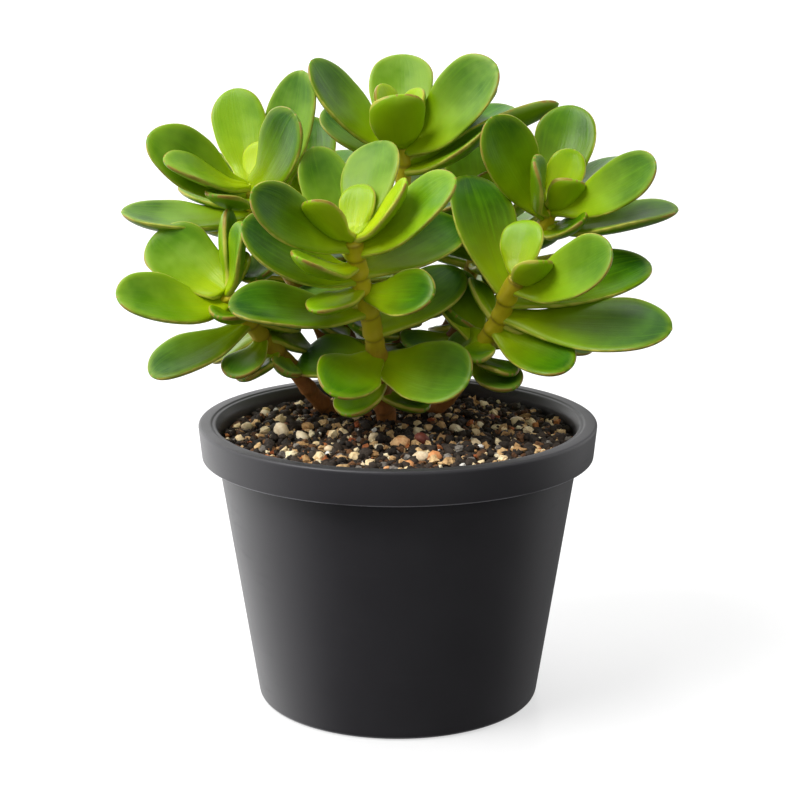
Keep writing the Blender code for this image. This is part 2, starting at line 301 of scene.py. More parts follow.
# ------------------------------------------------------------------------------------------------
# The root ball: gritty succulent mix that fills the pot to just under its rim. Its body is dark peat and
# bark fines; the loose grains that cover it come next.
SOIL_LOW, SOIL_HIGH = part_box("soil")
SOIL_RADIUS = NECK_RADIUS - POT_WALL - 0.3 * MM
SOIL_CROWN = 1.5 * MM
SOIL_LEVEL = SOIL_HIGH.z - SOIL_CROWN
SOIL_RINGS = 90
SOIL_SIDES = 220
GRAIN_BED = 1.2 * MM


def ripple(places, size, seed, waves=9):
    """Smooth random relief from -1 to 1: the mean of sine waves of about one size in random directions."""
    source = np.random.default_rng(seed)
    turn, phase = source.uniform(0, 2 * np.pi, (2, waves))
    pitch = 2 * np.pi / (size * source.uniform(0.7, 1.4, waves))
    x, y = places[..., 0:1], places[..., 1:2]
    return np.sin(pitch * (x * np.cos(turn) + y * np.sin(turn)) + phase).mean(-1) * 2


def soil_height(places):
    """Height of the soil at (x, y): crowned to the middle, with heaps and hollows of three sizes."""
    share = np.clip(np.hypot(places[..., 0], places[..., 1]) / SOIL_RADIUS, 0, 1)
    heaps = ripple(places, 34 * MM, 1) * 0.9 + ripple(places, 12 * MM, 2) * 0.7
    heaps += ripple(places, 5 * MM, 3) * 0.4
    return SOIL_LEVEL + SOIL_CROWN * (1 - share ** 2) + heaps * MM


def damp_soil():
    """Peat and bark fines: near black, crumbly at every size."""
    finish = Finish("damp_soil", Specular_IOR_Level=0.2)
    crumbs = finish.noise(420.0, detail=6.0, roughness=0.7)
    patches = finish.noise(90.0)
    tone = finish.mix(crumbs.step(0.35, 0.7), (0.006, 0.005, 0.004), (0.055, 0.036, 0.022))
    tone = finish.mix(patches.step(0.5, 0.7) * 0.4, tone, (0.07, 0.045, 0.026))
    return finish.shade(Base_Color=tone, Roughness=0.85 + crumbs * 0.12,
                        Normal=finish.bump(crumbs, 1.2 * MM, 0.9))


def make_root_ball():
    """A turned body with a flat bottom and a heaped top, which lies a little under the loose grains."""
    low = SOIL_LOW.z
    bottom = wall_radius(low) - POT_WALL - 0.3 * MM
    middle = (bottom + SOIL_RADIUS) / 2
    side = [(0, low), (bottom - 1 * MM, low), (bottom, low + 1 * MM), (middle, POT_HEIGHT / 2),
            (SOIL_RADIUS, POT_HEIGHT - COLLAR_DROP), (SOIL_RADIUS, SOIL_LEVEL - 2 * MM)]
    top = [(SOIL_RADIUS * share, SOIL_LEVEL) for share in np.linspace(0.995, 0.0, SOIL_RINGS)]
    profile = np.array(side + top)
    points = lathe(profile, SOIL_SIDES)
    on_top = points[:, 2] > SOIL_LEVEL - 1 * MM
    points[on_top, 2] = soil_height(points[on_top]) - GRAIN_BED
    add_piece("root_ball", points, skin(len(profile) - 2, SOIL_SIDES), damp_soil(), "gritty_soil", ["soil"])


make_root_ball()


# ------------------------------------------------------------------------------------------------
# The loose top of the mix: crumbs of peat, bark chips, pumice, tan and cream grit, and a few larger red and
# orange pebbles, poured on and left as they fell. Every grain is a lumpy ball of its own shape.
GRAIN_SIDES = 7
GRAIN_RINGS = 4
LUMPINESS = 0.22
TIPPING = 0.45
SCATTER = 1.6 * MM
ANGULAR = 0.28
rng = np.random.default_rng(11)


def stone(name, tones, roughness, grit, depth):
    """Mineral or bark grain: two tones picked per grain by its own tint, speckled, with a rough skin."""
    finish = Finish(name, Specular_IOR_Level=0.3)
    tint = finish.attribute("tint")
    speckle = finish.noise(grit, detail=5.0, roughness=0.65)
    tone = finish.mix(tint, tones[0], tones[1])
    tone = finish.mix(speckle.step(0.42, 0.62) * 0.55, tone, tones[2])
    return finish.shade(Base_Color=tone, Roughness=roughness + speckle * 0.1,
                        Normal=finish.bump(speckle, depth, 0.8))


def grains(name, material, places, widths, flatness, sunk, roundness):
    """Lumpy balls over a grid of turns and tilts: the radius is 1 plus random bumps, times three unlike
    half sizes, tipped and spun at random and set into the soil by a share of their height. The least round
    kinds are flat shaded, so that they look broken."""
    count = len(places)
    turn = np.linspace(0, 2 * np.pi, GRAIN_SIDES, endpoint=False)
    tilt = np.linspace(0, np.pi, GRAIN_RINGS + 2)[1:-1]
    ball = np.stack([np.outer(np.sin(tilt), np.cos(turn)), np.outer(np.sin(tilt), np.sin(turn)),
                     np.outer(np.cos(tilt), np.ones(GRAIN_SIDES))], -1).reshape(-1, 3)
    ball = np.concatenate([ball, [[0, 0, 1], [0, 0, -1]]])
    lumps = 1 + rng.normal(0, 1, (count, len(ball), 1)) * (1 - roundness) * LUMPINESS
    shape = ball[None] * lumps
    half = np.stack([rng.uniform(0.8, 1.25, count), rng.uniform(0.7, 1.05, count),
                     rng.uniform(0.75, 1.1, count) * flatness], -1) * widths[:, None] / 2
    shape = shape * half[:, None, :]
    tip = rng.normal(0, TIPPING, (count, 2))
    spin = rng.uniform(0, 2 * np.pi, count)
    for angle, (first, second) in ((tip[:, 0], (1, 2)), (tip[:, 1], (0, 2)), (spin, (0, 1))):
        c, s = np.cos(angle)[:, None], np.sin(angle)[:, None]
        a, b = shape[..., first].copy(), shape[..., second].copy()
        shape[..., first], shape[..., second] = a * c - b * s, a * s + b * c
    height = soil_height(places) + half[:, 2] * (1 - 2 * sunk) - 0.6 * MM
    shape += np.concatenate([places, height[:, None]], -1)[:, None, :]
    faces = np.array([face if len(face) == 4 else [*face, -1] for face in skin(GRAIN_RINGS, GRAIN_SIDES)])
    lifted = faces[None] + (np.arange(count) * len(ball))[:, None, None] * (faces[None] >= 0)
    all_faces = [face[:3] if face[3] < 0 else face for face in lifted.reshape(-1, 4).tolist()]
    tint = np.repeat(rng.uniform(0, 1, count), len(ball))
    piece = add_piece(name, shape.reshape(-1, 3), all_faces, material, "gritty_soil", tint=tint)
    if roundness < ANGULAR:
        piece.data.shade_flat()


def scattered(count):
    """Points spread evenly over the soil: a sunflower spiral with every point jittered."""
    order = np.arange(count) + 0.5
    radius = np.sqrt(order / count) * (SOIL_RADIUS - SCATTER)
    turn = order * np.pi * (3 - np.sqrt(5))
    places = np.stack([radius * np.cos(turn), radius * np.sin(turn)], -1)
    places += rng.normal(0, SCATTER, places.shape)
    far = np.hypot(*places.T)[:, None]
    return places * np.minimum(1, (SOIL_RADIUS - 1.8 * MM) / far)


def grain_widths(count, small, large):
    """Widths between two given in millimetres, more of the small than of the large."""
    return (small + (large - small) * rng.uniform(0, 1, count) ** 2.0) * MM


GRAIN_KINDS = (
    # name, number, widths in millimetres, tones (two by tint, then speckle), noise scale, flatness,
    # sunk share, roundness
    ("peat_crumbs", 1500, (2.0, 5.0), ((0.008, 0.007, 0.006), (0.040, 0.028, 0.020), (0.060, 0.040, 0.026)),
     650.0, 0.8, 0.35, 0.30),
    ("fine_peat", 900, (1.0, 2.6), ((0.012, 0.009, 0.007), (0.075, 0.045, 0.026), (0.030, 0.020, 0.012)),
     900.0, 0.8, 0.15, 0.20),
    ("bark_crumbs", 460, (1.6, 4.4), ((0.085, 0.036, 0.014), (0.24, 0.110, 0.042), (0.030, 0.016, 0.008)),
     800.0, 0.6, 0.25, 0.10),
    ("tan_grit", 300, (1.5, 5.2), ((0.46, 0.26, 0.10), (0.76, 0.52, 0.25), (0.24, 0.12, 0.05)),
     600.0, 0.7, 0.20, 0.05),
    ("cream_grit", 200, (1.5, 5.4), ((0.82, 0.62, 0.33), (0.93, 0.82, 0.56), (0.52, 0.34, 0.15)),
     500.0, 0.7, 0.20, 0.05),
    ("grey_grit", 120, (1.6, 4.4), ((0.13, 0.11, 0.095), (0.30, 0.27, 0.23), (0.07, 0.055, 0.045)),
     650.0, 0.75, 0.25, 0.25),
    ("pumice", 80, (1.0, 2.8), ((0.80, 0.77, 0.69), (0.88, 0.86, 0.82), (0.55, 0.50, 0.42)),
     900.0, 0.8, 0.15, 0.30),
    ("rust_grit", 90, (1.4, 4.2), ((0.34, 0.085, 0.025), (0.60, 0.24, 0.07), (0.18, 0.045, 0.02)),
     500.0, 0.7, 0.20, 0.15),
)
for kind, number, span, tones, grit, flatness, sunk, roundness in GRAIN_KINDS:
    grains(kind, stone(kind, tones, 0.78, grit, 0.5 * MM), scattered(number),
           grain_widths(number, *span), flatness, sunk, roundness)

PEBBLES = (
    # x, y and width in millimetres; tones
    ("orange_pebbles", ((1.0, -21, 8.6), (13.5, -41, 6.2), (4, -47, 5.0), (-4, -52, 4.0)),
     ((0.66, 0.27, 0.09), (0.85, 0.52, 0.24), (0.45, 0.12, 0.03))),
    ("cream_pebbles", ((8.5, -36, 7.2), (-44, -7, 7.4), (-35.5, -10, 6.6), (46, 12, 6.4), (-58, 9, 5.6),
                       (-9, -14, 4.8), (29, -20, 5.4), (22, 4, 5.0), (-25, -30, 4.6), (-52, 30, 5.0)),
     ((0.78, 0.60, 0.36), (0.86, 0.74, 0.52), (0.52, 0.34, 0.17))),
    ("red_pebbles", ((9, -18, 7.0), (36, 22, 5.0), (-30, 36, 4.6)),
     ((0.13, 0.030, 0.018), (0.22, 0.055, 0.030), (0.07, 0.02, 0.015))),
)
for kind, spots, tones in PEBBLES:
    spots = np.array(spots) * MM
    grains(kind, stone(kind, tones, 0.5, 350.0, 0.15 * MM), spots[:, :2], spots[:, 2], 0.72, 0.18, 0.8)


# ------------------------------------------------------------------------------------------------
# The stems: fleshy wood, green-gold and smooth at the growing end and brown and corky at the foot, with a
# swollen ring at every joint where a pair of leaves sits or once sat.
SHOOT_LEAVES = {}
for node_name in sorted(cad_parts):
    if node_name.startswith("leaf_"):
        shoot_name, leaf_number = node_name[len("leaf_"):].rsplit("_", 1)
        SHOOT_LEAVES.setdefault(shoot_name, []).append(int(leaf_number))
STEM_SIDES = 10
LEAF_SIDES = 8
FINE_RINGS = 190
FINE_SIDES = 30
# how fast each stem turns from cork to green-gold on its way up
GREENING = {"front": 1.15, "right": 1.15, "left": 0.80, "right_back": 0.80, "left_back": 0.70, "top": 0.75,
            "back_left": 0.70, "back_right": 0.70}
JOINT_SWELL = 0.42 * MM
JOINT_MERGE = 6.5 * MM
JOINT_SPREAD = 1.8 * MM
OLD_JOINT_GAP = 11 * MM
GROOVE_DEPTH = 0.22 * MM
FOOT_GIRTH = 1.06
TOP_GIRTH = 0.30
TIP_ROUNDING = 1.6 * MM


def swept_rings(node, sides):
    """The rings of points of a swept CAD solid, its tip point first. The tip is the one point from which
    the mesh falls into rings of equal size by the number of edges walked."""
    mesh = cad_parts[node].data
    places = np.array([vertex.co for vertex in mesh.vertices])
    points, index = np.unique(np.round(places, 6), axis=0, return_inverse=True)
    corners = index.reshape(-1)[np.array([face.vertices for face in mesh.polygons])]
    near = np.zeros((len(points), len(points)), bool)
    for a, b in ((0, 1), (1, 2), (2, 0)):
        near[corners[:, a], corners[:, b]] = near[corners[:, b], corners[:, a]] = True
    for tip in np.flatnonzero(near.sum(1) == sides):
        seen = np.zeros(len(points), bool)
        layer = np.arange(len(points)) == tip
        layers = []
        while layer.any():
            layers.append(points[layer])
            seen |= layer
            layer = near[layer].any(0) & ~seen
        if all(len(ring) == sides for ring in layers[1:]):
            return layers
    raise ValueError(f"{node} isn't a swept solid")


def smooth_line(points, count):
    """A curve through points, evenly spaced along its length: a Catmull-Rom spline sampled finely."""
    padded = np.concatenate([[2 * points[0] - points[1]], points, [2 * points[-1] - points[-2]]])
    before, start, end, after = (padded[i:len(padded) - 3 + i, None] for i in range(4))
    t = np.linspace(0, 1, 24, endpoint=False)[None, :, None]
    fine = 0.5 * (2 * start + (end - before) * t + (2 * before - 5 * start + 4 * end - after) * t ** 2
                  + (3 * start - before - 3 * end + after) * t ** 3)
    fine = np.concatenate([fine.reshape(-1, points.shape[1]), points[-1:]])
    walked = np.concatenate([[0], np.cumsum(np.linalg.norm(np.diff(fine, axis=0), axis=1))])
    even = np.linspace(0, walked[-1], count)
    return np.stack([np.interp(even, walked, column) for column in fine.T], -1)


def unit(vector):
    return vector / np.linalg.norm(vector, axis=-1, keepdims=True)


class Stem:
    """A stem's axis, radius and walked length, read from its CAD solid."""

    def __init__(self, shoot):
        layers = swept_rings(f"stem_{shoot}", STEM_SIDES)
        centres = np.array([ring.mean(0) for ring in layers[:0:-1]])
        girths = [np.linalg.norm(ring - ring.mean(0), axis=1).mean() for ring in layers[:0:-1]]
        self.axis = smooth_line(centres, FINE_RINGS)
        self.along = unit(np.gradient(self.axis, axis=0))
        self.walk = np.linspace(0, np.linalg.norm(np.diff(self.axis, axis=0), axis=1).sum(), FINE_RINGS)
        self.radius = np.interp(np.linspace(0, 1, FINE_RINGS), np.linspace(0, 1, len(girths)), girths)
        self.soil_walk = self.walk[np.argmax(self.axis[:, 2] > SOIL_LEVEL)]
        self.joints = []

    def row(self, share):
        """The axis row at a share of the stem's length above the soil."""
        target = self.soil_walk + share * (self.walk[-1] - self.soil_walk)
        return int(np.argmin(np.abs(self.walk - target)))

    def nearest(self, point):
        return int(np.argmin(np.linalg.norm(self.axis - point, axis=1)))


def stem_bark():
    """Jade wood: brown cork low down, olive and then green-gold above, darker in the ring at each joint."""
    finish = Finish("stem_bark", Specular_IOR_Level=0.4, Subsurface_Weight=0.05, Subsurface_Scale=2 * MM)
    age = finish.attribute("age")
    joint = finish.attribute("joint")
    blotch = finish.noise(160.0, detail=4.0)
    fibre = finish.noise(260.0, detail=5.0, roughness=0.65, vector=finish.stretch((3.0, 3.0, 0.55)))
    ringed = finish.noise(120.0, detail=4.0, vector=finish.stretch((0.5, 0.5, 6.0)))
    aged = age + (blotch - 0.5) * 0.35
    young = finish.mix(blotch, (0.42, 0.33, 0.003), (0.62, 0.52, 0.010))
    olive = finish.mix(fibre, (0.24, 0.15, 0.003), (0.48, 0.30, 0.011))
    cork = finish.mix(fibre, (0.13, 0.042, 0.008), (0.46, 0.18, 0.036))
    tone = finish.mix(aged.step(0.30, 0.60), young, olive)
    tone = finish.mix(aged.step(0.52, 0.78), tone, cork)
    tone = finish.mix(joint * 0.55, tone, (0.17, 0.085, 0.015))
    cracks = fibre * 0.7 + ringed * 0.5
    return finish.shade(
        Base_Color=tone,
        Roughness=0.42 + age * 0.35,
        Normal=finish.bump(cracks * (0.25 + age), 0.5 * MM, 0.7),
    )


def make_stem(shoot, stem):
    """A tube round the stem's axis. Its radius is the CAD radius, grown a little toward the top and made
    uneven by two sine waves round and along it, with a bell-shaped swelling and a groove at each joint."""
    joints = []
    for joint in sorted(stem.joints, reverse=True):
        if not joints or joints[-1] - joint > JOINT_MERGE:
            joints.append(joint)
    old = np.arange(min(joints) - OLD_JOINT_GAP, stem.soil_walk + 3 * MM, -OLD_JOINT_GAP)
    rings = np.concatenate([joints, old])
    gap = (stem.walk[:, None] - rings[None]) / JOINT_SPREAD
    swell = np.exp(-gap ** 2).max(1)
    groove = np.exp(-((gap + 0.9) / 0.3) ** 2).max(1)
    turn = np.linspace(0, 2 * np.pi, FINE_SIDES, endpoint=False)
    across = unit(np.array([1.0, 0.0, 0.0]) - stem.along * stem.along[:, 0:1])
    other = np.cross(stem.along, across)
    walk = stem.walk[:, None]
    uneven = 1 + 0.035 * np.sin(walk * 310 + 2 * turn) + 0.02 * np.sin(walk * 730 - 3 * turn)
    share = np.clip((stem.walk - stem.soil_walk) / (stem.walk[-1] - stem.soil_walk), 0, 1)
    near_tip = np.clip((stem.walk - stem.walk[-1] + TIP_ROUNDING) / TIP_ROUNDING, 0, 1)
    radius = stem.radius * (FOOT_GIRTH + TOP_GIRTH * share) * (1 - 0.75 * near_tip ** 2)
    radius = radius[:, None] * uneven + (JOINT_SWELL * swell - GROOVE_DEPTH * groove)[:, None]
    ring = np.cos(turn)[None, :, None] * across[:, None] + np.sin(turn)[None, :, None] * other[:, None]
    points = (stem.axis[:, None] + radius[..., None] * ring).reshape(-1, 3)
    ends = [stem.axis[0], stem.axis[-1] + stem.along[-1] * TIP_ROUNDING / 2]
    age = np.clip(1.0 - share * GREENING[shoot], 0, 1)
    age = np.append(np.repeat(age, FINE_SIDES), (1, 0))
    joint = np.append(np.repeat(groove, FINE_SIDES), (0, 0))
    add_piece(f"{shoot}_stem", np.concatenate([points, ends]), skin(FINE_RINGS, FINE_SIDES), BARK,
              "stem_bark", [f"stem_{shoot}"], age=age, joint=joint)


BARK = stem_bark()
STEMS = {shoot: Stem(shoot) for shoot in SHOOT_LEAVES}


# ------------------------------------------------------------------------------------------------
# The leaves: thick water-filled spoons with no stalk, in opposite pairs that clasp the stem. The upper face
# is dished and satin with a painted sheen and a painted glow at its border, the under face round and paler
# with painted fill light on it, and a fine edge runs from cream to red at the tip.
LEAF_WIDEST = 0.62
LEAF_NECK = 0.24
LEAF_RINGS_LOW = 16
LEAF_RINGS_HIGH = 16
LEAF_ROUND = 36
LEAF_CUP = 0.15
LEAF_DISH = 0.16
LEAF_THICKNESS = 4.6 * MM
NECK_REACH = 0.2
NECK_PULL = 0.8
MOST_PULL = 0.85


def outline(along, swell):
    """Share of the half width at a share of the length: a swell from the neck as the power of a sine, which
    is fuller for a smaller power, and then a blunt oval."""
    low = LEAF_NECK + (1 - LEAF_NECK) * np.sin(np.pi / 2 * np.clip(along / LEAF_WIDEST, 0, 1)) ** swell
    past = np.clip((along - LEAF_WIDEST) / (1 - LEAF_WIDEST), 0, 1)
    return np.where(along < LEAF_WIDEST, low, np.sqrt(np.clip(1 - past ** 2.25, 0, 1)))


def leaf_surface(length, width, seed):
    """A leaf along +X over a grid of stations and turns round it. Across is the outline times cos(turn);
    up is a parabola across (the cup), a parabola along (the dish) and plus or minus a half thickness that
    is a flattened oval across and runs out at the tip; then a little twist, bend and waviness."""
    source = np.random.default_rng(seed)
    lean, bend, curl, wave, shift = source.uniform(-1, 1, 5)
    low = np.linspace(0, LEAF_WIDEST, LEAF_RINGS_LOW, endpoint=False)
    high = LEAF_WIDEST + (1 - LEAF_WIDEST) * np.sin(np.linspace(0, np.pi / 2, LEAF_RINGS_HIGH + 1)[:-1])
    along = np.concatenate([low, high])[:, None]
    turn = np.linspace(0, 2 * np.pi, LEAF_ROUND, endpoint=False)[None]
    side = np.cos(turn)
    upper = np.sign(np.sin(turn)) * (np.abs(np.sin(turn)) > 1e-6)
    wavy = 1 + 0.018 * np.sin(8 * along + 5 * wave) + 0.012 * np.sin(17 * along + 9 * shift) * side
    swell = np.interp(length / width, (1.3, 1.7, 2.3), (0.62, 0.90, 1.35))
    half = outline(along, swell) * width / 2 * wavy
    across = half * side
    past = np.clip((along - LEAF_WIDEST) / (1 - LEAF_WIDEST), 0, 1)
    fullness = (0.84 + 0.16 * np.sin(np.pi * along)) * np.sqrt(1 - past ** 4)
    plump = min(1.0, 0.62 + 0.38 * width / (22 * MM))
    thick = LEAF_THICKNESS / 2 * plump * fullness * np.sqrt(np.clip(1 - np.abs(side) ** 3.2, 0, 1))
    cup = (LEAF_CUP + 0.03 * wave) * width * (across / (width / 2)) ** 2
    dish = LEAF_DISH * length * (along ** 2 - along) * (1 + 0.25 * curl) + 0.05 * curl * length * past ** 2
    groove = 0.32 * MM * np.exp(-(side / 0.13) ** 2) * (1 - along) ** 1.5 * (upper > 0)
    keel = 0.45 * MM * np.exp(-(side / 0.3) ** 2) * (1 - along) * (upper < 0)
    up = upper * thick + cup + dish - groove - keel
    twist = np.radians(9) * lean * (along - 0.3)
    sideways = 0.035 * bend * length * (along ** 2 - along)
    x = along * length + 0 * turn
    y = across * np.cos(twist) - up * np.sin(twist) + sideways
    z = across * np.sin(twist) + up * np.cos(twist)
    tip = [length * 1.004, 0, 0.05 * curl * length]
    ends = np.array([[0, 0, 0], tip])
    points = np.concatenate([np.stack([x, y, z], -1).reshape(-1, 3), ends])
    flat = np.stack([along * length + 0 * turn, across], -1).reshape(-1, 1, 2)
    edge = np.linspace(0, 1, 70)
    border = np.stack([edge * length, outline(edge, swell) * width / 2], -1)
    border = np.concatenate([border, border * (1, -1)])[None]
    rim = np.sqrt(((flat - border) ** 2).sum(-1)).min(1) / MM
    grids = {
        "along": np.append(along + 0 * turn, (0, 1)),
        "across": np.append(side + 0 * along, (0, 0)),
        "upper": np.append((upper > 0) + 0 * along, (1, 1)),
        "rim": np.append(rim, (2, 0)),
    }
    return points, grids


def jade_leaf():
    """Jade leaf: gold where it joins the stem, deep to fresh green by youth, a waxy coat that doubles as a
    painted sheen on the upper face, faint veins along it, fine pores, a painted glow along the upper border
    and a painted sheen near the rim toward the tip, a paler under face that doubles as painted fill light,
    and an edge from cream to red near the tip."""
    finish = Finish("jade_leaf", Specular_IOR_Level=0.25, Subsurface_Weight=0.12, Subsurface_Scale=3 * MM,
                    Subsurface_Radius=(0.6, 1.0, 0.05), IOR=1.42)
    along, across = finish.attribute("along"), finish.attribute("across")
    upper, rim = finish.attribute("upper"), finish.attribute("rim")
    youth, bloom, seed = finish.attribute("youth"), finish.attribute("bloom"), finish.attribute("seed")
    cloud = finish.noise(55.0, detail=3.0)
    pores = finish.noise(1500.0, detail=2.0, roughness=0.6)
    run = finish.node("ShaderNodeCombineXYZ", None, {0: along * 1.2, 1: across * 7.0, 2: seed * 13.0})
    veins = finish.noise(1.6, detail=4.0, vector=run)
    deep = finish.mix(cloud.step(0.3, 0.7), (0.008, 0.066, 0.0004), (0.042, 0.168, 0.0005))
    fresh = finish.mix(cloud.step(0.3, 0.7), (0.085, 0.245, 0.0004), (0.230, 0.430, 0.0006))
    gold = finish.mix(cloud, (0.34, 0.50, 0.0010), (0.50, 0.62, 0.0025))
    age = youth - along * 0.16 + (1 - along) ** 2 * 0.20 + (seed - 0.5) * 0.14
    tone = finish.mix(age.step(0.0, 0.55), deep, fresh)
    tone = finish.mix(age.step(0.45, 1.0), tone, gold)
    base = (1 - along) ** 2.0
    tone = finish.mix(base * 0.75, tone, (0.40, 0.50, 0.0012))
    tone = finish.mix(veins.step(0.45, 0.75) * 0.25, tone, (0.16, 0.38, 0.0008))
    # paler under face, which also serves as painted fill light on the under faces that the lamps leave in
    # shade
    tone = finish.mix((1 - upper) * 0.40, tone, (0.28, 0.46, 0.004))
    # wax coat on the upper face, partly a painted sheen standing in for the reflection of the lights
    wax_and_sheen = bloom * upper * cloud.step(0.30, 0.65) * along.step(0.1, 0.6)
    tone = finish.mix(wax_and_sheen * 0.34, tone, (0.23, 0.35, 0.09))
    tone = finish.mix(pores.step(0.60, 0.75) * 0.10, tone, (0.28, 0.46, 0.01))
    # painted glow: a lighter band along the upper face's border stands in for light shining through the thin
    # margin
    glow = rim.step(3.2, 0.4) * upper
    tone = finish.mix(glow * 0.30, tone, (0.30, 0.44, 0.002))
    # painted sheen: a pale band near the rim on the outer half stands in for the glancing reflection off the
    # waxy margin
    halo = rim.step(2.0, 0.3) * along.step(0.25, 0.75) * cloud.step(0.25, 0.6)
    tone = finish.mix(halo * bloom * 0.34, tone, (0.42, 0.52, 0.14))
    line = rim.step(0.55, 0.10)
    tone = finish.mix(line * 0.62, tone, (0.72, 0.62, 0.12))
    blush = line * (along + (cloud - 0.5) * 1.6).step(0.55, 1.05)
    tone = finish.mix(blush * 0.7, tone, (0.20, 0.050, 0.015))
    height = pores * 0.35 + veins * 0.9 + cloud * 1.2
    return finish.shade(
        Base_Color=tone,
        Roughness=0.24 + cloud * 0.10 + wax_and_sheen * 0.20 + pores * 0.05,
        Normal=finish.bump(height, 0.22 * MM, 0.5),
    )


LEAF = jade_leaf()
LEAF_FACES = skin(LEAF_RINGS_LOW + LEAF_RINGS_HIGH, LEAF_ROUND)
CLEAR_FROM = 0.17
FIRST_SEED = 1001
GOLDEN = 0.618
leaf_bodies = []


def lay_leaf(stem, base, axes, length, width):
    """A leaf surface laid on its axes at its base, with its neck drawn in to the stem's axis, and the search
    tree of the part of it that stands clear of the stem."""
    points, grids = leaf_surface(length, width, FIRST_SEED + len(leaf_bodies))
    pull = np.clip(1 - grids["along"] / NECK_REACH, 0, 1) ** 2
    inward = stem.axis[stem.nearest(base)] - base
    drawn_in = np.minimum(NECK_PULL * pull * (3 - 2 * pull), MOST_PULL)
    placed = base + points @ axes + inward * drawn_in[:, None]
    clear = grids["along"] > CLEAR_FROM
    faces = [face for face in LEAF_FACES if clear[face].all()]
    return placed, grids, BVHTree.FromPolygons(placed.tolist(), faces)


def make_leaf(name, stem, base, laid, youth, bloom, replaces=()):
    """Turn a laid leaf into a piece and note the joint it makes on its stem."""
    placed, grids, body = laid
    leaf_bodies.append(body)
    stem.joints.append(stem.walk[stem.nearest(base)])
    ones = np.ones(len(placed))
    add_piece(name, placed, LEAF_FACES, LEAF, "jade_leaf", replaces, youth=ones * youth, bloom=ones * bloom,
              seed=ones * (len(leaf_bodies) * GOLDEN % 1), **grids)


def leaf_turn(heading, rise, roll):
    """The axes, as rows (along, across, up), of a leaf at a heading and rise and rolled on itself."""
    return np.array(Euler(np.radians((roll, -rise, heading)), "XYZ").to_matrix()).T


def turn_angles(axes):
    """The heading, rise and roll, in degrees, that leaf_turn would need to give these axes."""
    along, across = axes[0], axes[1]
    heading = np.arctan2(along[1], along[0])
    level = np.array([-np.sin(heading), np.cos(heading), 0])
    roll = np.arctan2(across @ np.cross(along, level), across @ level)
    return np.degrees([heading, np.arcsin(along[2]), roll])


def leaf_axes(node):
    """Base point, axes (rows: along, across, up), length and width of a CAD leaf. The edges of its widest
    ring are lifted above its middle, which tells the upper side from the under side."""
    layers = swept_rings(node, LEAF_SIDES)
    tip, base, wide = layers[0][0], layers[-1].mean(0), layers[3]
    along = unit(tip - base)
    spread = wide - wide.mean(0)
    spread = spread - np.outer(spread @ along, along)
    edge = spread[np.argmax(np.linalg.norm(spread, axis=1))]
    across = unit(edge)
    up = np.cross(along, across)
    reach = np.abs(spread @ across)
    lift = (spread @ up)[reach > 0.9 * reach.max()].mean() - (spread @ up)[reach < 0.5 * reach.max()].mean()
    if lift < 0:
        across, up = -across, -up
    return base, np.array([along, across, up]), np.linalg.norm(tip - base), 2 * reach.max()


# heading, rise and roll in degrees past the plain solid; length and width scale; youth; wax coat and painted
# sheen
LEAF_CHARACTER = {
    "front_1": (-3, 3, 0, 1.02, 1.0, 0.36, 1.0), "front_2": (4, -2, 0, 1.05, 1.04, 0.34, 0.5),
    "front_3": (0, 3, -6, 1.02, 0.98, 0.30, 0.2), "front_4": (0, 0, 0, 1.03, 1.04, 0.50, 0.3),
    "front_5": (0, 0, 0, 1.02, 1.00, 0.65, 0.2), "front_6": (-3, -4, -8, 1.04, 1.15, 0.20, 0.2),
    "front_7": (0, -2, 0, 1.03, 1.06, 0.10, 0.0), "front_8": (0, 0, 0, 1.0, 1.04, 0.04, 0.1),
    "front_9": (0, 0, 0, 1.05, 1.10, 0.12, 0.2), "front_10": (14, -5, -4, 1.10, 0.98, 0.30, 0.0),
    "front_11": (0, 0, 0, 1.0, 1.04, 0.32, 0.3),
    "right_1": (0, 0, 0, 1.01, 1.00, 0.36, 0.3), "right_2": (0, 0, 0, 1.02, 1.04, 0.14, 0.1),
    "right_3": (0, -3, 0, 1.02, 1.24, 0.16, 0.0), "right_4": (0, 0, 0, 1.02, 1.16, 0.14, 0.2),
    "right_5": (0, 0, 0, 1.0, 1.02, 0.14, 0.0),
    "right_back_1": (-3, 2, 0, 1.03, 1.00, 0.28, 0.0), "right_back_2": (0, 3, 0, 1.08, 0.94, 0.34, 0.2),
    "right_back_3": (0, 0, 0, 1.02, 1.04, 0.26, 0.0), "right_back_4": (0, 1, -3, 1.02, 1.06, 0.04, 0.7),
    "left_1": (0, 0, 0, 0.97, 1.06, 0.48, 0.8), "left_2": (0, 0, 0, 1.0, 1.0, 0.45, 0.2),
    "left_3": (0, -0.5, 0, 0.98, 1.12, 0.48, 0.5), "left_4": (0, -4, 0, 0.98, 1.12, 0.20, 0.6),
    "left_back_1": (0, 0, 0, 1.03, 1.0, 0.50, 0.2), "left_back_2": (-6, 1, 0, 1.04, 1.16, 0.12, 0.1),
    "left_back_3": (0, 0, 0, 1.02, 1.05, 0.40, 0.3), "left_back_4": (2, 1, 0, 1.01, 1.20, 0.36, 0.9),
    "left_back_5": (0, 0, 0, 1.0, 1.06, 0.30, 0.2), "left_back_6": (0, -6, 0, 1.03, 1.25, 0.22, 0.9),
    "top_1": (-4, -1, 0, 1.02, 1.06, 0.50, 1.0), "top_2": (0, 0, 0, 1.03, 1.0, 0.80, 0.3),
    "top_3": (0, 1.5, 0, 1.04, 1.10, 0.42, 0.8), "top_4": (0, -0.5, 0, 1.0, 1.18, 0.22, 0.2),
    "top_5": (0, 0, 0, 1.05, 1.10, 0.22, 0.4), "top_6": (0, 0, 0, 1.05, 1.06, 0.16, 0.2),
}
PLAIN_CHARACTER = (0, 0, 0, 1.03, 1.06, 0.20, 0.4)

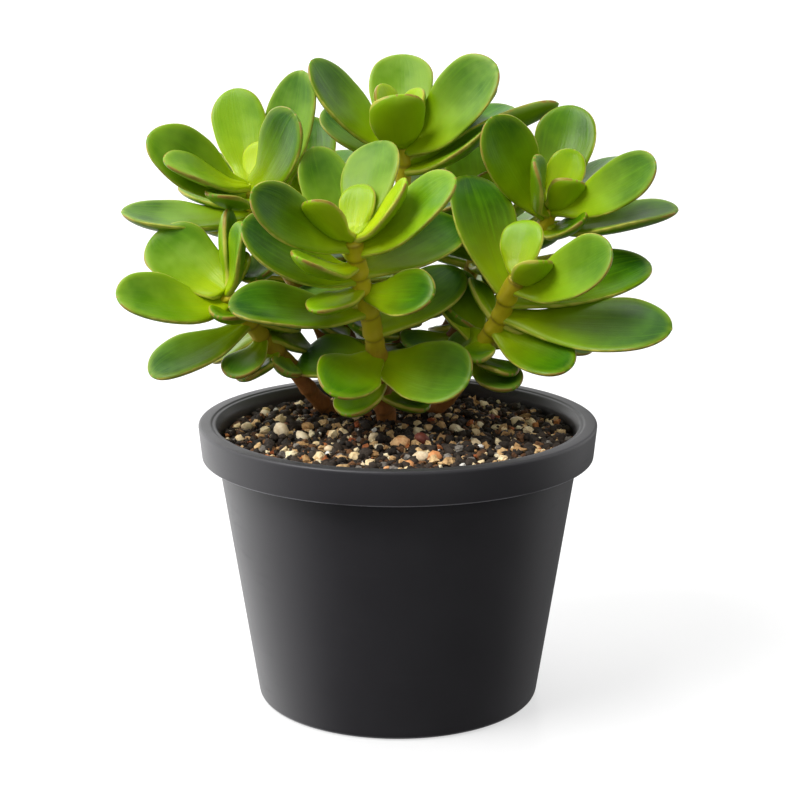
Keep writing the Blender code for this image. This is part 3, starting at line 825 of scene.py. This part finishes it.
for shoot_name, numbers in SHOOT_LEAVES.items():
    for leaf_number in numbers:
        leaf_name = f"{shoot_name}_{leaf_number}"
        leaf_base, leaf_frame, leaf_length, leaf_width = leaf_axes(f"leaf_{leaf_name}")
        *settle, longer, wider, youth, bloom = LEAF_CHARACTER.get(leaf_name, PLAIN_CHARACTER)
        shoot_stem = STEMS[shoot_name]
        laid = lay_leaf(shoot_stem, leaf_base, leaf_turn(*(turn_angles(leaf_frame) + settle)),
                        leaf_length * longer, leaf_width * wider)
        make_leaf(f"{shoot_name}_leaf_{leaf_number}", shoot_stem, leaf_base, laid, youth, bloom,
                  [f"leaf_{leaf_name}"])


# ------------------------------------------------------------------------------------------------
# The young leaves and the small ones: the folded pair at each growing point, and the short leaves low on
# the stems and behind, which fill the crown. They grow on the same stems, give way to their neighbours and
# have no solid of their own.
EXTRA_LEAVES = {
    # place along the stem, heading, rise, roll in degrees; length, width in millimetres; youth; wax coat and
    # painted sheen
    "front": (
        (1.00, 77, 62, -10, 20, 14, 0.80, 0), (1.00, 216, 42, 25, 24, 14, 0.95, 0),
        (0.99, 332, 49, 30, 30, 15, 0.85, 0), (0.83, 34, 18, 33, 46, 25, 0.0, 0.2),
        (0.75, 230, -8, -8, 25, 16, 0.62, 0), (0.69, 133, -25, -35, 22, 14, 0.4, 0),
        (0.36, 146, -5, -32, 34, 24, 0.2, 0.15), (0.24, 240, -14, 5, 23, 18, 0.35, 0),
        (0.18, 323, -7, 5, 18, 14, 0.1, 0), (0.74, 131, -8, -25, 32, 20, 0.1, 0.9),
    ),
    "right": (
        (1.00, 66, 62, -5, 21, 17, 0.62, 0), (0.99, 313, 40, -10, 15, 17, 0.85, 0),
        (0.71, 115, 36, 20, 22, 11, 0.3, 0), (0.49, 311, -10, 0, 22, 13, 0.2, 0),
        (0.73, 12, -18, 25, 36, 20, 0.0, 0), (0.63, 136, -34, -52, 26, 15, 0.05, 0.5),
        (0.58, 262, -5, 0, 17, 13, 0.45, 0), (0.57, 111, -13, -32, 28, 18, 0.05, 0.3),
    ),
    "right_back": (
        (1.00, 25, 66, 45, 23, 15, 0.75, 0), (1.00, 324, 60, -22, 16, 15, 0.85, 0),
        (0.98, 41, 28, -8, 40, 19, 0.15, 0.2), (0.89, 313, 20, 30, 23, 14, 0.05, 0),
        (0.30, 224, 1, -14, 24, 18, 0.1, 0.6), (0.40, 269, 5, -42, 30, 19, 0.0, 0.2),
    ),
    "left": (
        (0.99, 291, 66, 85, 30, 15, 0.5, 0), (1.00, 60, 60, 0, 16, 11, 0.9, 0),
        (0.66, 132, -25, -45, 28, 16, 0.1, 0.3), (0.52, 237, -12, 5, 22, 14, 0.2, 0.3),
        (0.47, 285, -16, -30, 15, 13, 0.1, 0.8), (0.65, 56, -17, 34, 32, 20, 0.05, 0.2),
        (0.78, 58, -15, 30, 30, 18, 0.05, 0), (0.85, 250, 10, -15, 20, 14, 0.3, 0),
    ),
    "left_back": (
        (1.00, 219, 23, -35, 39, 17, 0.66, 0.6), (1.00, 60, 62, 0, 18, 13, 0.95, 0),
        (0.93, 143, 8, -15, 35, 19, 0.1, 0.6),
        (0.77, 256, -10, 20, 31, 19, 0.05, 0.2), (0.67, 62, 5, 5, 26, 16, 0.1, 0.3),
        (0.86, 255, -13, 21, 28, 18, 0.35, 0), (0.72, 292, -16, -30, 24, 15, 0.05, 0),
        (0.94, 66, 19, -10, 34, 20, 0.05, 0.5),
        (0.55, 297, 2, 7, 26, 18, 0.1, 0.2),
    ),
    "top": (
        (0.93, 4, 21, -32, 62, 15, 0.15, 1.0),
        (1.00, 167, 70, -25, 23, 15, 0.95, 0), (1.00, 13, 70, 25, 21, 15, 0.95, 0),
        (0.91, 5, 41, -35, 46, 20, 0.1, 0), (0.90, 38, 23, 5, 57, 22, 0.1, 0),
        (0.93, 43, 21, 0, 42, 22, 0.05, 0), (0.30, 237, 11, -20, 32, 20, 0.05, 0.3),
        (0.24, 261, 6, 10, 24, 20, 0.05, 0.1),
    ),
    "back_left": (
        (1.00, 250, 62, 0, 24, 15, 0.8, 0), (1.00, 160, 66, 0, 15, 11, 0.95, 0),
        (1.00, 340, 64, 0, 15, 11, 0.95, 0), (0.74, 235, 4, 0, 32, 19, 0.05, 0.3),
        (0.74, 45, 12, 0, 34, 19, 0.1, 0.3), (0.37, 250, 16, -38, 28, 18, 0.05, 0.3),
    ),
    "back_right": (
        (1.00, 285, 62, 0, 24, 15, 0.8, 0), (1.00, 195, 66, 0, 15, 11, 0.95, 0),
        (1.00, 15, 66, 0, 15, 11, 0.95, 0), (0.74, 300, 4, 0, 32, 19, 0.05, 0.3),
        (0.74, 135, 12, 0, 34, 19, 0.1, 0.3),
    ),
}


def sprout(stem, share, heading, rise, roll, length, width):
    """Where a leaf starts on the stem's surface, and the leaf laid there."""
    row = stem.row(share)
    axes = leaf_turn(heading, rise, roll)
    aside = unit(axes[0] - stem.along[row] * (axes[0] @ stem.along[row]))
    base = stem.axis[row] + aside * stem.radius[row]
    return base, lay_leaf(stem, base, axes, length * MM, width * MM)


def piercing(laid):
    """How many faces of a laid leaf cut into the leaves made so far."""
    body = laid[2]
    return sum(len(body.overlap(other)) for other in leaf_bodies)


# faces that may touch where the leaves of neighbouring pairs crowd together at their bases
BASE_CONTACT = 60
# degrees of heading and rise by which a leaf may give way to its neighbours
NUDGES = ((0, 0), (0, 3), (0, -3), (4, 0), (-4, 0), (4, 4), (-4, 4), (4, -4), (-4, -4), (0, 7), (0, -7),
          (8, 0), (-8, 0), (8, 7), (-8, 7), (8, -7), (-8, -7))
for shoot_name, extra in EXTRA_LEAVES.items():
    for leaf_number, (share, heading, rise, roll, long, wide, youth, bloom) in enumerate(extra, start=1):
        fewest = np.inf
        for aside, lift in NUDGES:
            start, tried = sprout(STEMS[shoot_name], share, heading + aside, rise + lift, roll, long, wide)
            cuts = piercing(tried)
            if cuts < fewest:
                fewest = cuts
                leaf_base = start
                laid = tried
            if cuts <= BASE_CONTACT:
                break
        make_leaf(f"{shoot_name}_small_leaf_{leaf_number}", STEMS[shoot_name], leaf_base, laid, youth, bloom)


# ------------------------------------------------------------------------------------------------
# The older pairs lower on the stems, inside and behind the crown. Each pair stands across the one above it,
# and a leaf bends up, down or aside to clear its neighbours, or was shed where there is no room. The stems
# come last, because each has a ring at every leaf that it bears.
INNER_PAIRS = {
    # place along the stem and heading of the first leaf of each pair
    "back_left": ((0.84, 40), (0.62, 20), (0.50, 110), (0.38, 10), (0.24, 100)),
    "back_right": ((0.84, 140), (0.62, 160), (0.50, 70), (0.38, 170), (0.24, 80)),
    "top": ((0.80, 60), (0.70, 150), (0.60, 60), (0.49, 150), (0.38, 60), (0.24, 150)),
    "left_back": ((0.80, 130), (0.62, 140), (0.50, 50), (0.38, 140)),
    "right_back": ((0.82, 100), (0.72, 20), (0.60, 100), (0.48, 20), (0.36, 110), (0.22, 20)),
    "left": ((0.86, 100), (0.55, 100)),
    "right": ((0.80, 80), (0.55, 60)),
    "front": ((0.86, 90), (0.60, 60), (0.30, 80)),
}
# degrees of heading and rise by which a leaf may bend, the first that clears its neighbours being taken
BENDS = ((0, 0), (0, 12), (0, -12), (16, 0), (-16, 0), (16, 14), (-16, 14), (0, 26), (28, -8), (-28, -8),
         (0, -24))
INNER_FRONT = 2 * MM
INNER_TOP = 205 * MM
rng = np.random.default_rng(5)


def hidden_in_crown(laid):
    """Whether a laid leaf keeps behind the front of the crown and below the top of it."""
    placed = laid[0]
    return placed[:, 1].min() > INNER_FRONT and placed[:, 2].max() < INNER_TOP


for shoot_name, pairs in INNER_PAIRS.items():
    shoot_stem = STEMS[shoot_name]
    for pair_number, (share, heading) in enumerate(pairs, start=1):
        for side, name_end in ((0, "a"), (180, "b")):
            long, rise, roll = rng.uniform(27, 39), rng.uniform(0, 22), rng.uniform(-14, 14)
            long *= 0.72 + 0.28 * share
            wide = long * rng.uniform(0.50, 0.60)
            for aside, lift in BENDS:
                leaf_base, laid = sprout(shoot_stem, share, heading + side + aside, rise + lift, roll,
                                         long, wide)
                if hidden_in_crown(laid) and piercing(laid) == 0:
                    make_leaf(f"{shoot_name}_inner_leaf_{pair_number}{name_end}", shoot_stem, leaf_base, laid,
                              0.04 + 0.16 * share, rng.uniform(0, 0.6))
                    break
for shoot_name, shoot_stem in STEMS.items():
    make_stem(shoot_name, shoot_stem)


# ------------------------------------------------------------------------------------------------
# The stage: a white floor that keeps a soft shadow, light from the left, the right and above, and the
# camera. The floor lights nothing and shows in nothing, so that the plant and the pot keep their depth.
FLOOR_SPAN = 12.0
FLOOR_GLOW = 0.60
DIM_SIDE = 0.11
PANELS = (
    # direction of the middle, strength there, cosine of the angle at its rim
    ((-0.84, 0.47, 0.27), 2.0, 0.10),
    ((0.0, 1.0, 0.0), 0.10, 0.0),
    ((0.90, 0.36, 0.24), 1.2, 0.65),
)
CAMERA_PLACE = (0.8 * MM, -731.7 * MM, 290.6 * MM)
CAMERA_PITCH = 13.47
CAMERA_LENS = 89.3


def white_floor():
    """Lit white acrylic that also glows a little, so that it stays white as far as the eye goes."""
    finish = Finish("white_floor", Base_Color=(0.35, 0.35, 0.35, 1.0), Roughness=0.30,
                    Specular_IOR_Level=0.15, Emission_Color=(1.0, 1.0, 1.0, 1.0),
                    Emission_Strength=FLOOR_GLOW)
    return finish.material


floor_mesh = bpy.data.meshes.new("floor")
corners = [(-1, -1), (1, -1), (1, 1), (-1, 1)]
floor_mesh.from_pydata([(x * FLOOR_SPAN, y * FLOOR_SPAN, -0.2 * MM) for x, y in corners], [], [(0, 1, 2, 3)])
floor_mesh.materials.append(white_floor())
floor = bpy.data.objects.new("floor", floor_mesh)
bpy.context.scene.collection.objects.link(floor)
floor.visible_diffuse = False
floor.visible_glossy = False


def studio_sky():
    """The room: a bright panel to the left, a small one to the right, dim elsewhere, and white to look at."""
    sky = bpy.data.worlds.new("studio")
    bpy.context.scene.world = sky
    sky.use_nodes = True
    room = Nodes(sky.node_tree)
    direction = room.node("ShaderNodeTexCoord", output="Generated")
    glow = DIM_SIDE
    for side, strength, rim in PANELS:
        toward = room.node("ShaderNodeVectorMath", {"operation": "DOT_PRODUCT"},
                           {0: direction, 1: side}, output="Value")
        glow = glow + strength * toward.step(rim, 1.0)
    seen = room.node("ShaderNodeLightPath", output="Is Camera Ray")
    background = sky.node_tree.nodes["Background"]
    background.inputs["Color"].default_value = (1.0, 1.0, 1.0, 1.0)
    room.join(glow * (1 - seen) + seen, background.inputs["Strength"])


def soft_sun(name, place, spread, strength):
    """A broad far light, so that it falls evenly on the whole floor."""
    lamp = bpy.data.lights.new(name, "SUN")
    lamp.angle = np.radians(spread)
    lamp.energy = strength
    thing = bpy.data.objects.new(name, lamp)
    thing.rotation_euler = Vector(place).to_track_quat("Z", "Y").to_euler()
    bpy.context.scene.collection.objects.link(thing)


studio_sky()
soft_sun("key", (-0.58, -0.36, 0.95), 32, 2.9)
soft_sun("fill", (0.25, -0.90, 0.30), 70, 0.7)
soft_sun("overhead", (0.15, 0.35, 0.95), 60, 0.5)

camera = bpy.data.objects.new("camera", bpy.data.cameras.new("camera"))
camera.data.lens = CAMERA_LENS
camera.data.sensor_width = 36.0
camera.data.clip_start = 0.01
camera.location = CAMERA_PLACE
camera.rotation_euler = (np.radians(90 - CAMERA_PITCH), 0, 0)
bpy.context.scene.collection.objects.link(camera)
bpy.context.scene.camera = camera
bpy.context.scene.view_settings.view_transform = "Standard"
